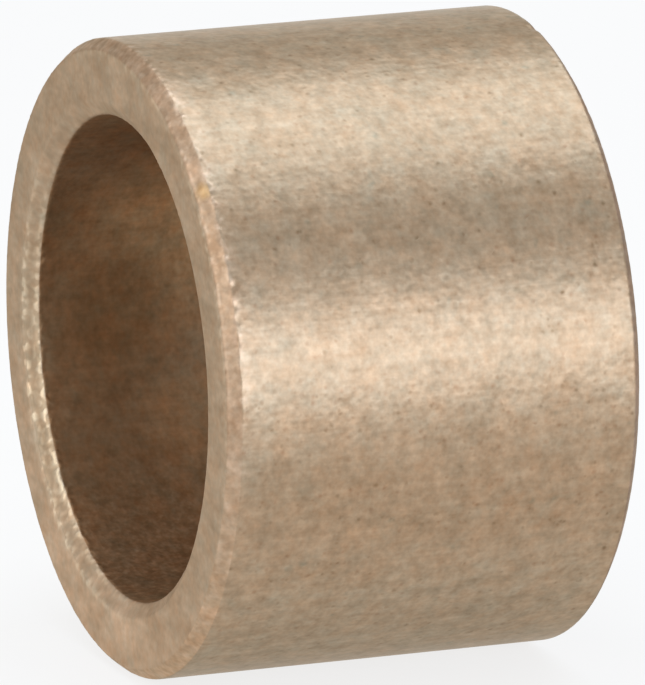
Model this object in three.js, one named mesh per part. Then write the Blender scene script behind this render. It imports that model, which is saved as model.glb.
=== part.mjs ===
// A plain sleeve bushing: one straight ring of porous, oil-filled sintered bronze, pressed to shape in a die.
// It has no flange, groove, split or liner, and the same chamfers at both ends.
// Millimetres. +Y runs along the bore, +Z is up with the sleeve lying on its side,
// and the origin is the middle of the bore.
import * as THREE from 'three';

// Driving dimensions
const BORE_DIAMETER = 19;
const OUTSIDE_DIAMETER = 25;
const LENGTH = 17;
const OUTSIDE_CHAMFER = 0.4;        // both legs of the 45 degree chamfer on each outer rim
const BORE_CHAMFER_WIDTH = 0.6;     // how much the lead-in takes off each end face, measured along the radius
const BORE_CHAMFER_DEPTH = 0.4;     // how far the lead-in runs into the bore
const FACETS = 72;                  // flats round the sleeve

// The ring's section, walked once round: x is the distance from the bore's axis and y runs along it.
function sleeveSection() {
  const bore = BORE_DIAMETER / 2;
  const outside = OUTSIDE_DIAMETER / 2;
  const end = LENGTH / 2;
  return [
    new THREE.Vector2(bore, -end + BORE_CHAMFER_DEPTH),
    new THREE.Vector2(bore + BORE_CHAMFER_WIDTH, -end),
    new THREE.Vector2(outside - OUTSIDE_CHAMFER, -end),
    new THREE.Vector2(outside, -end + OUTSIDE_CHAMFER),
    new THREE.Vector2(outside, end - OUTSIDE_CHAMFER),
    new THREE.Vector2(outside - OUTSIDE_CHAMFER, end),
    new THREE.Vector2(bore + BORE_CHAMFER_WIDTH, end),
    new THREE.Vector2(bore, end - BORE_CHAMFER_DEPTH),
    new THREE.Vector2(bore, -end + BORE_CHAMFER_DEPTH),
  ];
}

// The section swept round the Y axis. It starts half a facet round, so that one flat faces straight down.
function bushingSleeve() {
  const halfFacet = Math.PI / FACETS;
  const geometry = new THREE.LatheGeometry(sleeveSection(), FACETS, halfFacet);
  const sinteredBronze = new THREE.MeshStandardMaterial({
    color: new THREE.Color().setRGB(0.64, 0.52, 0.41, THREE.SRGBColorSpace),
    roughness: 0.42,
    metalness: 1.0,
  });
  const sleeve = new THREE.Mesh(geometry, sinteredBronze);
  sleeve.name = 'bushing_sleeve';
  return sleeve;
}

const bushing = new THREE.Group();
bushing.add(bushingSleeve());

export default bushing;
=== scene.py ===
"""The bronze sleeve bushing, lying on its side on a pale floor.

The sleeve is one dense mesh of revolution that stands for the CAD node. Its section is read from that node.
Its corners are rounded, worn and a little crumbled; its metal is a procedural sintered bronze with painted
light and shade.
Lengths are in metres, apart from the sizes of patterns and stains in the material, which are in millimetres.
A turn is the angle in degrees round the sleeve's axis, from +X up towards +Z.
"""

import math
from collections import namedtuple

import bpy
import numpy as np
from mathutils import Matrix, Vector, noise


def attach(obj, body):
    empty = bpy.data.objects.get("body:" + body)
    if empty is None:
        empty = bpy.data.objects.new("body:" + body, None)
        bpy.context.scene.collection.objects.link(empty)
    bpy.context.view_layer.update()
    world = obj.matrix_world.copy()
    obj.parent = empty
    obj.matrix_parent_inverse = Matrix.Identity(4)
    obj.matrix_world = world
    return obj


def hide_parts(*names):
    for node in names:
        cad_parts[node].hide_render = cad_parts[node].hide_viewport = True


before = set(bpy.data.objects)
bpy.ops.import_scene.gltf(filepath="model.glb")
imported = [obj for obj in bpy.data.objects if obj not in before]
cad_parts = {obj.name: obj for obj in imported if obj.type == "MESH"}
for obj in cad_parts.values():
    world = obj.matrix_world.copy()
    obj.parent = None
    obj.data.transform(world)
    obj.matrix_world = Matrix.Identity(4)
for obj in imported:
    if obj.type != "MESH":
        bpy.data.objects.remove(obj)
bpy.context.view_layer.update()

MM = 0.001
CAD_NODE = "bushing_sleeve"
SLOT = "sintered_bronze"

# Camera: a long lens, a little above the sleeve and round to the side of its open end
CAMERA_AZIMUTH = 68.34
CAMERA_ELEVATION = 13.57
CAMERA_DISTANCE = 507.1 * MM
CAMERA_LENS = 683.0
CAMERA_SENSOR = 36.0
CAMERA_NEAREST = 0.01
CAMERA_FURTHEST = 10
AIM_RIGHT_OF_CENTRE = 0.19 * MM
AIM_BELOW_CENTRE = 0.06 * MM

# Studio
TOP_WHITE = (0.92, 1.055, 1.215)
SIDE_WHITE = (0.94, 1.04, 1.2)
END_WHITE = (1.0, 1.0, 0.97)
SOFTBOX_DISTANCE = 150 * MM
WORLD_GLOW = 0.68
FLOOR_GLOW = 0.79
FLOOR_GREY = 0.16
FLOOR_ROUGHNESS = 0.9
FLOOR_REACH = 2.0
FLOOR_GAP = 0.01 * MM  # between the sleeve and the floor

# A softbox lies at a turn and leans some degrees towards the sleeve's far end. Its width is across the
# sleeve, and its length is along it.
Softbox = namedtuple("Softbox", "name turn lean width length radiance colour")
SOFTBOXES = (
    Softbox("top_light", 95, 9, 122 * MM, 190 * MM, 1.6, TOP_WHITE),
    Softbox("side_light", 9.5, 9, 82 * MM, 190 * MM, 2.12, SIDE_WHITE),
    Softbox("front_light", 58, -62, 150 * MM, 120 * MM, 1.35, END_WHITE),
    Softbox("back_light", 165, 21, 80 * MM, 120 * MM, 0.4, TOP_WHITE),
)

# Mesh of the sleeve
STEPS_ROUND = 1080
CORNER_RADIUS = 0.25 * MM
CORNER_STEPS = 4
CHAMFER_SPACING = 0.05 * MM
FACE_SPACING = 0.14 * MM
WALL_STEPS = 48
WALL_CROWDING = 0.9  # how much closer the wall's rows lie at its ends than in its middle, from 0 to 1
NEAR_RIM_GROWTH = 0.1 * MM  # how much longer than the CAD's the open end's outer chamfer is along the sleeve
FAR_RIM_SHRINK = 0.12 * MM  # how much shorter than the CAD's the far end's outer chamfer is along the sleeve

# Wear: how far from a corner it has fallen to a third, how bright it leaves the metal, and at which turns it
# is most. The brightness is partly painted highlight, strongest on the side where the light falls.
WEAR_REACH = 0.14 * MM
WALL_WEAR_REACH = 0.28 * MM
WEAR_LEAST = 0.01  # where there is less, the metal has no beads, crumbs or nick
MOUTH_SHINE = 1.0
RIM_SHINE = 0.45
FAR_SHINE = 0.1
MOUTH_LIT_SIDE = 210.0
RIM_LIT_SIDE = 48.0

# Relief of the metal: how deep it is, and how wide its bumps are
GRAIN_SIZE = 0.24 * MM
GRAIN_DEPTH = {
    "outside": 0.0006 * MM,
    "bore": 0.0012 * MM,
    "face": 0.002 * MM,
    "near_chamfer": 0.010 * MM,
    "far_chamfer": 0.005 * MM,
    "bore_chamfer": 0.010 * MM,
}
CORNER_GRAIN_DEPTH = 0.010 * MM
CRUMBLE_SIZE = 0.45 * MM
CRUMBLE_LEAST = 0.05  # the noise has to pass this before a crumb is missing
MOUTH_CRUMBLE = 0.06 * MM
FACE_CRUMBLE = 0.015 * MM
RIM_CRUMBLE = 0.1 * MM
BEAD_SIZE = 0.26 * MM
BEAD_HEIGHT = 0.03 * MM
BEAD_CONTRAST = 4.0
BEAD_SHARE = 0.03  # above 0, beads cover more than half of a worn corner
# Painted sheen: worn corners are painted lighter, between their beads too
EVEN_WEAR_SHEEN = 0.3  # how bright a worn corner is between its beads
NICK_TURN = 80.0
NICK_SIZE = 0.25 * MM
NICK_DEPTH = 0.09 * MM
WAVE_SIZE = 3.0 * MM
WAVE_DEPTH = 0.0015 * MM

# Patterns of soft noise in the metal: how wide their bumps are in millimetres, how much finer noise
# they have, how rough that is, and the factors that draw them out along the sleeve or across it
Pattern = namedtuple("Pattern", "size detail rough drawn")
EVEN = (1, 1, 1)
ALONG = (1, 0.03, 1)
ACROSS = (0.6, 1, 1)
MOTTLE = Pattern(0.8, 2.6, 0.92, EVEN)
END_MOTTLE = Pattern(1.0, 2.0, 0.7, ACROSS)
TINT = Pattern(1.2, 3.0, 0.85, EVEN)
LINES = Pattern(0.25, 2.0, 0.5, ALONG)
RAGGED_EDGES = Pattern(0.25, 0.0, 0.5, EVEN)
GLINTS = Pattern(0.25, 1.0, 0.5, EVEN)
# painted glints: bright crumbs on the open end's outer rim
CRUMB_GLINTS = Pattern(0.34, 0.5, 0.5, ACROSS)
BUMPS = Pattern(0.5, 1.2, 0.8, EVEN)

# The noise up to which a pattern's share is 0, and from which it is 1
MOTTLE_LIMITS = (0.25, 0.75)
TINT_LIMITS = (0.25, 0.75)
BORE_TINT_LIMITS = (0.3, 0.7)
LINE_LIMITS = (0.3, 0.7)
RAGGED_LIMITS = (0.3, 0.6)
GLINT_LIMITS = (0.42, 0.74)
CRUMB_GLINT_LIMITS = (0.40, 0.66)

# How high patterns stand in the shader's bump, in millimetres
BUMP_HEIGHT = 0.026
LINE_HEIGHT = 0.004
PORE_DEPTH = 0.003

# Little marks: how far apart they are in millimetres, and the widest one's radius as a share of that
Marks = namedtuple("Marks", "spacing widest")
PORES = Marks(0.37, 0.42)
PITS = Marks(0.29, 0.55)
SMUDGES = Marks(0.85, 0.3)
UNMARKED = 0.3  # the share of places with no mark
MARK_CORE = 0.2  # the share of a mark's radius inside which it is full
SPOT_CORE = 0.3  # the same of a stain

# How strongly a layer covers what is under it
END_SOFTNESS = 0.8
RUST_STRENGTH = 0.7
# painted glints on the open end's outer rim
CRUMB_GLINT_STRENGTH = 0.22

# Gloss
ROUGHNESS = 0.52
OUTSIDE_ROUGHNESS = 0.40
BORE_ROUGHNESS = 0.55
COAT_WEIGHT = 0.15
COAT_ROUGHNESS = 0.3

# Colours of the metal, linear
BRONZE = (0.40, 0.292, 0.192, 1)
FACE_BRONZE = (0.425, 0.309, 0.209, 1)
# Painted shade: the bore darker and redder than the outside, for the light that bounces inside it
SHADED_BORE_BRONZE = (0.33, 0.205, 0.113, 1)
RUST_BRONZE = (0.405, 0.272, 0.178, 1)
# Painted shade: the far end's outer rim darker and greyer
FAR_RIM_SHADE_BRONZE = (0.335, 0.24, 0.18, 1)
MOUTH_BRONZE = (0.365, 0.262, 0.17, 1)
WORN_LIT_BRONZE = (0.68, 0.515, 0.385, 1)
LIT_BEAD_BRONZE = (0.76, 0.62, 0.45, 1)
OCHRE_BRONZE = (0.56, 0.35, 0.14, 1)
# Pinkish and lighter low on the open end: partly its own pink tint, partly painted light from the floor
BLUSH_AND_FLOOR_LIGHT_BRONZE = (0.545, 0.39, 0.266, 1)
# Painted highlight in the bore
BORE_HIGHLIGHT_BRONZE = (0.52, 0.345, 0.19, 1)
# Painted shade in the bore, darker and redder
BORE_SHADE_BRONZE = (0.21, 0.115, 0.052, 1)
# Painted shade: a darker, warmer band along the outside below the side highlight
PINK_SHADE_BRONZE = (0.385, 0.265, 0.165, 1)
# Painted shade: darker towards the underside near the floor
UNDERSIDE_SHADE_BRONZE = (0.35, 0.263, 0.179, 1)
# Painted light: the open end's outer rim lighter low round the sleeve
LOW_RIM_LIGHT_BRONZE = (0.50, 0.35, 0.225, 1)
GRAZING_TINT = (0.78, 0.72, 0.62, 1)

# Tones, which multiply the metal's colour
PORE_TONE = (0.66, 0.62, 0.55, 1)
PIT_TONE = (0.84, 0.76, 0.71, 1)
SMUDGE_TONE = (0.76, 0.86, 0.9, 1)
DARK_TONE = (0.76, 0.73, 0.685, 1)
LIGHT_TONE = (1.24, 1.27, 1.315, 1)
PINK_TONE = (1.085, 1.0, 0.94, 1)
GREEN_TONE = (0.915, 1.0, 1.06, 1)
STREAK_TONE = (0.95, 0.943, 0.93, 1)
BARE_TONE = (1.05, 1.057, 1.07, 1)
RED_TONE = (1.04, 0.99, 0.95, 1)
GREY_TONE = (0.96, 1.01, 1.05, 1)
# Painted glints: lighter flecks low in the bore
GLINT_TONE = (1.4, 1.48, 1.6, 1)
NO_TONE = (1, 1, 1, 1)

# Stains, and patches of painted highlight and painted shade: the share of the mesh that each lies on, its
# turn, how far along the sleeve it is and its reach, both in millimetres, how many times longer than wide it
# is, its strength and its colour
StainOrLight = namedtuple("StainOrLight", "share turn along size longer strength colour")
STAINS_AND_LIGHT = (
    StainOrLight("near_rim", 44, -8.3, 0.5, 1, 0.85, OCHRE_BRONZE),
    # painted light: the open end's outer rim lighter low round the sleeve
    StainOrLight("near_rim", -50, -8.3, 11, 1, 0.8, LOW_RIM_LIGHT_BRONZE),
    # the open end painted lighter low down, with a pinkish tint
    StainOrLight("end", -104, -8.5, 15, 1, 1.0, BLUSH_AND_FLOOR_LIGHT_BRONZE),
    StainOrLight("mouth", 190, -8.4, 13, 1, 1.0, MOUTH_BRONZE),
    # Painted highlight and painted shade in the bore
    StainOrLight("bore", 163, -3, 5, 1, 1.0, BORE_HIGHLIGHT_BRONZE),
    StainOrLight("bore", 184, -5, 4.5, 1, 0.8, BORE_SHADE_BRONZE),
    StainOrLight("bore", 160, -8.4, 3.2, 1, 0.6, BORE_SHADE_BRONZE),
    StainOrLight("bore", 211, -2.2, 2.8, 1, 0.25, BORE_HIGHLIGHT_BRONZE),
    StainOrLight("bore", 220, -8.4, 5, 1, 0.3, BORE_SHADE_BRONZE),
    # Painted shade: a band below the side highlight, and the underside near the floor
    StainOrLight("outside", -16, 0, 4.5, 4, 1.0, PINK_SHADE_BRONZE),
    StainOrLight("outside", -60, 0, 5.5, 4, 1.0, UNDERSIDE_SHADE_BRONZE),
)
# Painted glints: the patch low in the bore where they show
GLINT_PATCH = StainOrLight("bore", -95, -5, 9, 1, 1.0, None)  # where the bore's lighter grain shows

# The shares that the mesh carries for the material: each is 1 on some of the section's stretches, else 0
STRETCHES = {
    "outside": ("outside",),
    "bore": ("bore",),
    "end": ("face", "bore_chamfer"),
    "mouth": ("bore_chamfer",),
    "near_rim": ("near_chamfer",),
    "far_rim": ("far_chamfer",),
}

# A corner of the section, as (radius, along), the stretch that follows it, how deep it crumbles, how bright
# it is worn, partly as painted highlight, and the turn at which it is worn and lit most
Corner = namedtuple("Corner", "place stretch crumble shine side")
# A point of the section, the way out of the metal there, its stretch, its wear, which is 1 on a corner, and
# the corner nearest to it
Row = namedtuple("Row", "place out stretch wear corner")


# ---------------------------------------------------------------- mesh

def cad_section():
    """The ring's section, measured on the CAD node: radii, half length and where the chamfers end."""
    corners = np.array([v.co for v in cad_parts[CAD_NODE].data.vertices])
    radius = np.hypot(corners[:, 0], corners[:, 2])
    along = np.abs(corners[:, 1])
    near = 0.01 * MM
    end = along.max()
    on_face = along > end - near
    in_bore = radius < radius.min() + near
    on_outside = radius > radius.max() - near
    return {
        "bore": radius.min(),
        "outside": radius.max(),
        "end": end,
        "face_inner": radius[on_face].min(),
        "face_outer": radius[on_face].max(),
        "bore_end": along[in_bore].max(),
        "outside_end": along[on_outside].max(),
    }


def section_corners(cad):
    """The section's corners in turn, from the bore at the open end round to the bore at the far end."""
    near_rim = -cad["outside_end"] + NEAR_RIM_GROWTH
    far_rim = cad["outside_end"] + FAR_RIM_SHRINK
    end = cad["end"]
    return [
        Corner((cad["bore"], -cad["bore_end"]), "bore_chamfer", MOUTH_CRUMBLE, MOUTH_SHINE, MOUTH_LIT_SIDE),
        Corner((cad["face_inner"], -end), "face", FACE_CRUMBLE, MOUTH_SHINE, MOUTH_LIT_SIDE),
        Corner((cad["face_outer"], -end), "near_chamfer", FACE_CRUMBLE, RIM_SHINE, RIM_LIT_SIDE),
        Corner((cad["outside"], near_rim), "outside", RIM_CRUMBLE, RIM_SHINE, RIM_LIT_SIDE),
        Corner((cad["outside"], far_rim), "far_chamfer", FACE_CRUMBLE, FAR_SHINE, RIM_LIT_SIDE),
        Corner((cad["face_outer"], end), "face", FACE_CRUMBLE, FAR_SHINE, RIM_LIT_SIDE),
        Corner((cad["face_inner"], end), "bore_chamfer", FACE_CRUMBLE, FAR_SHINE, MOUTH_LIT_SIDE),
        Corner((cad["bore"], cad["bore_end"]), "bore", MOUTH_CRUMBLE, FAR_SHINE, MOUTH_LIT_SIDE),
    ]


def steps_along(name, length):
    """Where a stretch's rows lie, from 0 to 1. A wall's rows crowd towards both of its ends."""
    if name in ("outside", "bore"):
        t = np.linspace(0, 1, WALL_STEPS + 1)
        return t - WALL_CROWDING * np.sin(2 * math.pi * t) / (2 * math.pi)
    spacing = FACE_SPACING if name == "face" else CHAMFER_SPACING
    return np.linspace(0, 1, round(length / spacing) + 1)


def rounded_corner(before, corner, centre, first_out, last_out, bend):
    """The rows round a corner. The way out turns from that of the stretch before to that of the next one."""
    rows = []
    for k in range(CORNER_STEPS + 1):
        t = k / CORNER_STEPS
        out = (first_out * math.sin((1 - t) * bend) + last_out * math.sin(t * bend)) / math.sin(bend)
        stretch = before.stretch if t < 0.5 else corner.stretch
        rows.append(Row(centre + out * CORNER_RADIUS, out, stretch, 1.0, corner))
    return rows


def straight_stretch(corner, after, start, stop, out):
    """The rows between two corners, without those at its ends, which are the corners' own."""
    reach = WALL_WEAR_REACH if corner.stretch == "outside" else WEAR_REACH
    rows = []
    for t in steps_along(corner.stretch, np.linalg.norm(stop - start))[1:-1]:
        place = start + (stop - start) * t
        nearest, edge = (corner, start) if t < 0.5 else (after, stop)
        wear = math.exp(-np.linalg.norm(place - edge) / reach)
        rows.append(Row(place, out, corner.stretch, wear, nearest))
    return rows


def section_rows(cad):
    """The closed section with rounded corners, as rows."""
    corners = section_corners(cad)
    count = len(corners)
    places = np.array([corner.place for corner in corners])
    ways = np.roll(places, -1, axis=0) - places
    ways /= np.linalg.norm(ways, axis=1)[:, None]
    outs = np.stack([ways[:, 1], -ways[:, 0]], axis=1)
    bends = [math.acos(outs[i - 1] @ outs[i]) for i in range(count)]
    cuts = [CORNER_RADIUS * math.tan(bend / 2) for bend in bends]
    rows = []
    for i, corner in enumerate(corners):
        after = (i + 1) % count
        centre = places[i] - ways[i - 1] * cuts[i] - outs[i - 1] * CORNER_RADIUS
        rows += rounded_corner(corners[i - 1], corner, centre, outs[i - 1], outs[i], bends[i])
        start = places[i] + ways[i] * cuts[i]
        stop = places[after] - ways[i] * cuts[after]
        rows += straight_stretch(corner, corners[after], start, stop, outs[i])
    return rows


def at_turn(turn, radius, along):
    """The point at a turn, a radius and a place along the sleeve."""
    turn = math.radians(turn)
    return Vector((radius * math.cos(turn), along, radius * math.sin(turn)))


def wear_and_sheen_at(turn, row):
    """How worn a row is at a turn, with its painted highlight: most on its corner's own side, and not at all
    on the other.
    """
    return row.wear * max(0.0, math.cos(math.radians(turn - row.corner.side))) ** 2


def bead(point):
    """1 on the beads that the corners are worn to, and 0 between them."""
    return min(1.0, max(0.0, BEAD_CONTRAST * (noise.noise(point / BEAD_SIZE) + BEAD_SHARE)))


def relief(point, row, wear, nick):
    """How far the metal stands out from the true shape at a point, in metres."""
    depth = max(GRAIN_DEPTH[row.stretch], wear * CORNER_GRAIN_DEPTH)
    grain = noise.noise(point / GRAIN_SIZE) + 0.5 * noise.noise(point / (GRAIN_SIZE / 2))
    out = depth * grain + WAVE_DEPTH * noise.noise(point / WAVE_SIZE)
    if row.wear > WEAR_LEAST:
        if row.stretch == "outside":
            wear = wear**2  # on the wall the relief ends sooner than the brightness
        out += wear * row.corner.shine * BEAD_HEIGHT * bead(point)
        out -= wear * row.corner.crumble * max(0.0, noise.noise(point / CRUMBLE_SIZE) - CRUMBLE_LEAST)
        out -= NICK_DEPTH * math.exp(-(((point - nick).length / NICK_SIZE) ** 2))
    return out


def sleeve_mesh():
    """The ring as a grid: the section's rows by the steps round the Y axis, closed both ways."""
    cad = cad_section()
    rows = section_rows(cad)
    nick = at_turn(NICK_TURN, cad["outside"], cad["outside_end"])
    vertices, wear_and_sheen = [], []
    for row in rows:
        for j in range(STEPS_ROUND):
            turn = 360 * j / STEPS_ROUND
            wear = wear_and_sheen_at(turn, row)
            point = at_turn(turn, row.place[0], row.place[1])
            outward = at_turn(turn, row.out[0], row.out[1])
            vertices.append(point + outward * relief(point, row, wear, nick))
            # The worn corners' brightness: partly real burnish, partly painted highlight on their lit side
            wear_and_sheen.append(wear * row.corner.shine * (EVEN_WEAR_SHEEN + (1 - EVEN_WEAR_SHEEN) * bead(point)))
    mesh = bpy.data.meshes.new("bronze_sleeve")
    mesh.from_pydata(vertices, [], grid_faces(len(rows)))
    mesh.shade_smooth()
    add_share(mesh, "wear_and_sheen", wear_and_sheen)
    for name, stretches in STRETCHES.items():
        add_share(mesh, name, np.repeat([row.stretch in stretches for row in rows], STEPS_ROUND))
    return mesh


def grid_faces(count):
    """The faces between a count of rows. The last row joins the first, and each row closes on itself."""
    faces = []
    for i in range(count):
        here, after = i * STEPS_ROUND, (i + 1) % count * STEPS_ROUND
        for j in range(STEPS_ROUND):
            k = (j + 1) % STEPS_ROUND
            faces.append((here + j, here + k, after + k, after + j))
    return faces


def add_share(mesh, name, values):
    """A number for each vertex, which the material reads by name."""
    mesh.attributes.new(name, "FLOAT", "POINT").data.foreach_set("value", np.array(values, np.float32))


# ---------------------------------------------------------------- material nodes

def add_node(tree, kind, inputs=None, **settings):
    """A node with its settings. Its inputs are values, or sockets to join to."""
    made = tree.nodes.new(kind)
    for key, value in settings.items():
        setattr(made, key, value)
    for key, value in (inputs or {}).items():
        if isinstance(value, bpy.types.NodeSocket):
            tree.links.new(value, made.inputs[key])
        else:
            made.inputs[key].default_value = value
    return made


def maths(tree, operation, a, b=0.0):
    return add_node(tree, "ShaderNodeMath", {0: a, 1: b}, operation=operation).outputs[0]


def product(tree, a, b):
    return maths(tree, "MULTIPLY", a, b)


def share_of(tree, name):
    """One of the mesh's shares: the worn corners' brightness with its painted highlight, or a stretch of the
    section.
    """
    return add_node(tree, "ShaderNodeAttribute", attribute_name=name).outputs["Fac"]


def remap(tree, value, low, high, to_low=0.0, to_high=1.0):
    inputs = {"Value": value, "From Min": low, "From Max": high, "To Min": to_low, "To Max": to_high}
    return add_node(tree, "ShaderNodeMapRange", inputs).outputs[0]


def blend(tree, share, a, b):
    """From colour a to colour b. The Mix node's sockets go by number, because their names repeat."""
    inputs = {0: share, 6: a, 7: b}
    return add_node(tree, "ShaderNodeMix", inputs, data_type="RGBA").outputs[2]


def between(tree, share, a, b):
    """From number a to number b."""
    return add_node(tree, "ShaderNodeMix", {0: share, 2: a, 3: b}).outputs[0]


def stretched(tree, place, factors):
    return add_node(tree, "ShaderNodeVectorMath", {0: place, 1: factors}, operation="MULTIPLY").outputs[0]


def cloud(tree, place, pattern):
    """A pattern's soft noise, about 0.5 on average."""
    inputs = {"Scale": 1 / pattern.size, "Detail": pattern.detail, "Roughness": pattern.rough}
    inputs["Vector"] = stretched(tree, place, pattern.drawn)
    return add_node(tree, "ShaderNodeTexNoise", inputs).outputs["Fac"]


def spot(tree, place, centre, size):
    """1 near a point and 0 from a size in millimetres outwards."""
    ends = {0: place, 1: centre}
    away = add_node(tree, "ShaderNodeVectorMath", ends, operation="DISTANCE").outputs["Value"]
    return remap(tree, away, size, SPOT_CORE * size)


def toned(tree, metal, share, low, high):
    """A colour multiplied by a tone, which runs from low to high with the share."""
    factors = {0: metal, 1: blend(tree, share, low, high)}
    return add_node(tree, "ShaderNodeVectorMath", factors, operation="MULTIPLY").outputs[0]


def specks(tree, place, marks):
    """Soft round dots: 1 in the middle of each. Each cell of the spacing has one dot or none."""
    cells = add_node(tree, "ShaderNodeTexVoronoi", {"Vector": place, "Scale": 1 / marks.spacing})
    chance = add_node(tree, "ShaderNodeSeparateColor", {0: cells.outputs["Color"]}).outputs[0]
    width = remap(tree, chance, UNMARKED, 1.0, 0.0, marks.widest)
    near = maths(tree, "SUBTRACT", 1.0, maths(tree, "DIVIDE", cells.outputs["Distance"], width))
    return product(tree, remap(tree, near, 0.0, 1 - MARK_CORE), remap(tree, chance, UNMARKED, 1.0))


# ---------------------------------------------------------------- sintered bronze

def stain_or_light_share(tree, place, stain_or_light, shares):
    """How strongly a stain or a patch of painted light and shade covers the metal."""
    cad = cad_section()
    radius = cad["bore"] if stain_or_light.share in ("bore", "mouth") else cad["outside"]
    shape = Vector((1, 1 / stain_or_light.longer, 1))
    middle = at_turn(stain_or_light.turn, radius / MM, stain_or_light.along) * shape
    share = spot(tree, stretched(tree, place, shape), middle, stain_or_light.size)
    return product(tree, product(tree, share, stain_or_light.strength), shares[stain_or_light.share])


def wear_and_sheen_share(tree, place, shares):
    """How bright the metal is worn and lit: on the worn corners, and in crumbs on the open end's outer rim.
    Much of it is painted highlight and painted glints.
    """
    # Painted glints: bright crumbs on the open end's outer chamfer, for light caught by its grain
    crumb_glints = remap(tree, cloud(tree, place, CRUMB_GLINTS), *CRUMB_GLINT_LIMITS)
    crumb_glints = product(tree, product(tree, shares["near_rim"], CRUMB_GLINT_STRENGTH), crumb_glints)
    bright = maths(tree, "MAXIMUM", shares["wear_and_sheen"], crumb_glints)
    return product(tree, bright, maths(tree, "SUBTRACT", 1.0, shares["bore"]))


def even_metal(tree, place, shares):
    """The colour of each part of the ring, with its stains, its wear, and its painted highlights and shade.
    """
    metal = blend(tree, shares["end"], BRONZE, FACE_BRONZE)
    # painted shade: the bore darker and redder
    metal = blend(tree, shares["bore"], metal, SHADED_BORE_BRONZE)
    metal = blend(tree, product(tree, shares["near_rim"], RUST_STRENGTH), metal, RUST_BRONZE)
    # painted shade: the far rim darker
    metal = blend(tree, shares["far_rim"], metal, FAR_RIM_SHADE_BRONZE)
    for stain_or_light in STAINS_AND_LIGHT:
        metal = blend(tree, stain_or_light_share(tree, place, stain_or_light, shares), metal, stain_or_light.colour)
    # Worn corners and their beads: real burnish with painted highlight
    worn_and_lit_metal = blend(tree, shares["end"], WORN_LIT_BRONZE, LIT_BEAD_BRONZE)
    return blend(tree, wear_and_sheen_share(tree, place, shares), metal, worn_and_lit_metal)


def mottled(tree, place, metal, shares):
    """A colour with light and dark grain, softer on the ends, and with pinkish and greenish patches."""
    softness = product(tree, shares["end"], END_SOFTNESS)
    grain = between(tree, softness, cloud(tree, place, MOTTLE), cloud(tree, place, END_MOTTLE))
    tint = cloud(tree, place, TINT)
    metal = toned(tree, metal, remap(tree, grain, *MOTTLE_LIMITS), DARK_TONE, LIGHT_TONE)
    metal = toned(tree, metal, remap(tree, tint, *TINT_LIMITS), PINK_TONE, GREEN_TONE)
    bore_tint = between(tree, shares["bore"], 0.5, remap(tree, tint, *BORE_TINT_LIMITS))
    return toned(tree, metal, bore_tint, RED_TONE, GREY_TONE)


def outside_marks(tree, place, marks, shares):
    """Specks with ragged edges, on the outside only."""
    ragged = remap(tree, cloud(tree, place, RAGGED_EDGES), *RAGGED_LIMITS)
    return product(tree, specks(tree, place, marks), product(tree, ragged, shares["outside"]))


def bore_glints(tree, place, shares):
    """Painted glints: lighter flecks low in the bore."""
    glints = remap(tree, cloud(tree, place, GLINTS), *GLINT_LIMITS)
    return product(tree, glints, stain_or_light_share(tree, place, GLINT_PATCH, shares))


def relief_bump(tree, place, lines, pores):
    """Fine bumps, sizing lines and pores, for the shader's normal."""
    height = product(tree, cloud(tree, place, BUMPS), BUMP_HEIGHT)
    height = maths(tree, "ADD", height, product(tree, lines, LINE_HEIGHT))
    height = maths(tree, "SUBTRACT", height, product(tree, pores, PORE_DEPTH))
    return add_node(tree, "ShaderNodeBump", {"Height": height, "Distance": MM}).outputs[0]


def sintered_bronze():
    """Pressed bronze powder with oil in its pores: sized outside, matt ends, bright worn corners, and
    painted highlights, glints and shade.
    """
    material = bpy.data.materials.new(SLOT)
    material.use_nodes = True
    tree = material.node_tree
    coordinates = add_node(tree, "ShaderNodeTexCoord").outputs["Object"]
    place = stretched(tree, coordinates, (1 / MM, 1 / MM, 1 / MM))
    shares = {name: share_of(tree, name) for name in ("wear_and_sheen", *STRETCHES)}
    lines = cloud(tree, place, LINES)
    pores = outside_marks(tree, place, PORES, shares)
    pits = outside_marks(tree, place, PITS, shares)
    smudges = outside_marks(tree, place, SMUDGES, shares)
    glints = bore_glints(tree, place, shares)

    metal = mottled(tree, place, even_metal(tree, place, shares), shares)
    metal = toned(tree, metal, remap(tree, lines, *LINE_LIMITS), STREAK_TONE, BARE_TONE)
    metal = toned(tree, metal, pores, NO_TONE, PORE_TONE)
    metal = toned(tree, metal, pits, NO_TONE, PIT_TONE)
    metal = toned(tree, metal, smudges, NO_TONE, SMUDGE_TONE)
    metal = toned(tree, metal, glints, NO_TONE, GLINT_TONE)
    bump = relief_bump(tree, place, lines, pores)
    roughness = between(tree, shares["outside"], ROUGHNESS, OUTSIDE_ROUGHNESS)
    roughness = between(tree, shares["bore"], roughness, BORE_ROUGHNESS)

    shader = tree.nodes["Principled BSDF"]
    shader.inputs["Metallic"].default_value = 1.0
    shader.inputs["Specular Tint"].default_value = GRAZING_TINT
    shader.inputs["Coat Roughness"].default_value = COAT_ROUGHNESS
    tree.links.new(metal, shader.inputs["Base Color"])
    tree.links.new(roughness, shader.inputs["Roughness"])
    tree.links.new(bump, shader.inputs["Normal"])
    tree.links.new(product(tree, shares["outside"], COAT_WEIGHT), shader.inputs["Coat Weight"])
    tree.links.new(bump, shader.inputs["Coat Normal"])
    return material


# ---------------------------------------------------------------- stage

def place_in_scene(name, data):
    made = bpy.data.objects.new(name, data)
    bpy.context.scene.collection.objects.link(made)
    return made


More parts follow.
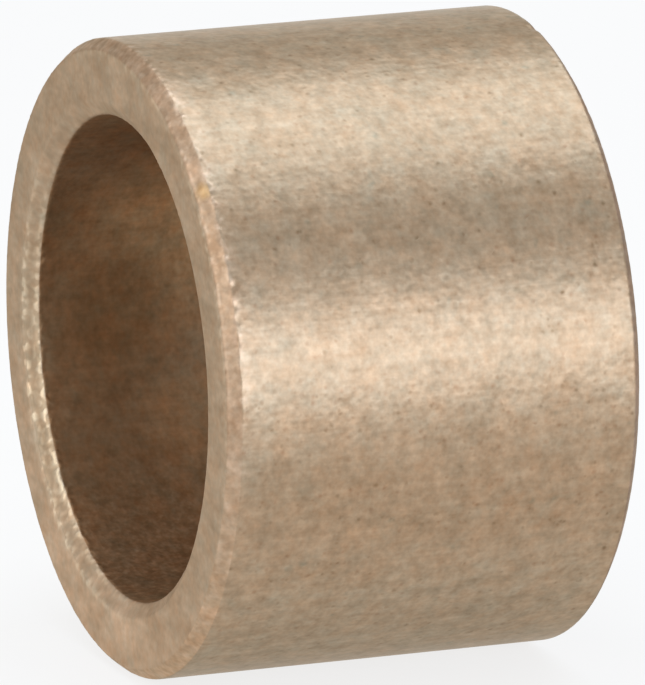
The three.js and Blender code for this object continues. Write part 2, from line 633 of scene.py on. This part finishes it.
def floor(height):
    """A pale floor that also glows a little, so that it stays near white beside the sleeve."""
    signs = ((-1, -1), (1, -1), (1, 1), (-1, 1))
    corners = [(x * FLOOR_REACH, y * FLOOR_REACH, height) for x, y in signs]
    mesh = bpy.data.meshes.new("floor")
    mesh.from_pydata(corners, [], [(0, 1, 2, 3)])
    material = bpy.data.materials.new("floor")
    material.use_nodes = True
    shader = material.node_tree.nodes["Principled BSDF"]
    shader.inputs["Base Color"].default_value = (FLOOR_GREY, FLOOR_GREY, FLOOR_GREY, 1)
    shader.inputs["Roughness"].default_value = FLOOR_ROUGHNESS
    shader.inputs["Specular IOR Level"].default_value = 0.0
    shader.inputs["Emission Color"].default_value = (1, 1, 1, 1)
    shader.inputs["Emission Strength"].default_value = FLOOR_GLOW
    mesh.materials.append(material)
    place_in_scene("floor", mesh)


def softbox(box):
    """A rectangular light that faces the sleeve and that the camera doesn't see."""
    light = bpy.data.lights.new(box.name, "AREA")
    light.shape = "RECTANGLE"
    light.size = box.width
    light.size_y = box.length
    light.energy = box.radiance * math.pi * box.width * box.length
    light.color = box.colour
    turn, lean = math.radians(box.turn), math.radians(box.lean)
    way = Vector((math.cos(turn) * math.cos(lean), math.sin(lean), math.sin(turn) * math.cos(lean)))
    across = Vector((0, 1, 0)).cross(way).normalized()
    turned = Matrix((across, way.cross(across), way)).transposed().to_4x4()
    made = place_in_scene(box.name, light)
    made.matrix_world = Matrix.Translation(way * SOFTBOX_DISTANCE) @ turned
    made.visible_camera = False


def studio():
    """The softboxes in white surroundings. The top and side ones make the pale bands along the sleeve."""
    for box in SOFTBOXES:
        softbox(box)
    world = bpy.data.worlds.new("studio")
    world.use_nodes = True
    world.node_tree.nodes["Background"].inputs["Color"].default_value = (1, 1, 1, 1)
    world.node_tree.nodes["Background"].inputs["Strength"].default_value = WORLD_GLOW
    bpy.context.scene.world = world
    bpy.context.scene.view_settings.view_transform = "Standard"


def camera():
    """The camera, with its optical axis a little to the right of the sleeve's centre and below it."""
    a, e = math.radians(CAMERA_AZIMUTH), math.radians(CAMERA_ELEVATION)
    back = Vector((math.sin(a) * math.cos(e), -math.cos(a) * math.cos(e), math.sin(e)))
    right = Vector((math.cos(a), math.sin(a), 0))
    data = bpy.data.cameras.new("camera")
    data.sensor_width = CAMERA_SENSOR
    data.lens = CAMERA_LENS
    data.clip_start = CAMERA_NEAREST
    data.clip_end = CAMERA_FURTHEST
    made = place_in_scene("camera", data)
    up = back.cross(right)
    made.location = back * CAMERA_DISTANCE + right * AIM_RIGHT_OF_CENTRE - up * AIM_BELOW_CENTRE
    made.rotation_mode = "QUATERNION"
    made.rotation_quaternion = back.to_track_quat("Z", "Y")
    bpy.context.scene.camera = made


def sleeve():
    made = place_in_scene("bronze_sleeve", sleeve_mesh())
    made.data.materials.append(sintered_bronze())
    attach(made, "root")
    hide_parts(CAD_NODE)


camera()
sleeve()
floor(-cad_section()["outside"] - FLOOR_GAP)
studio()
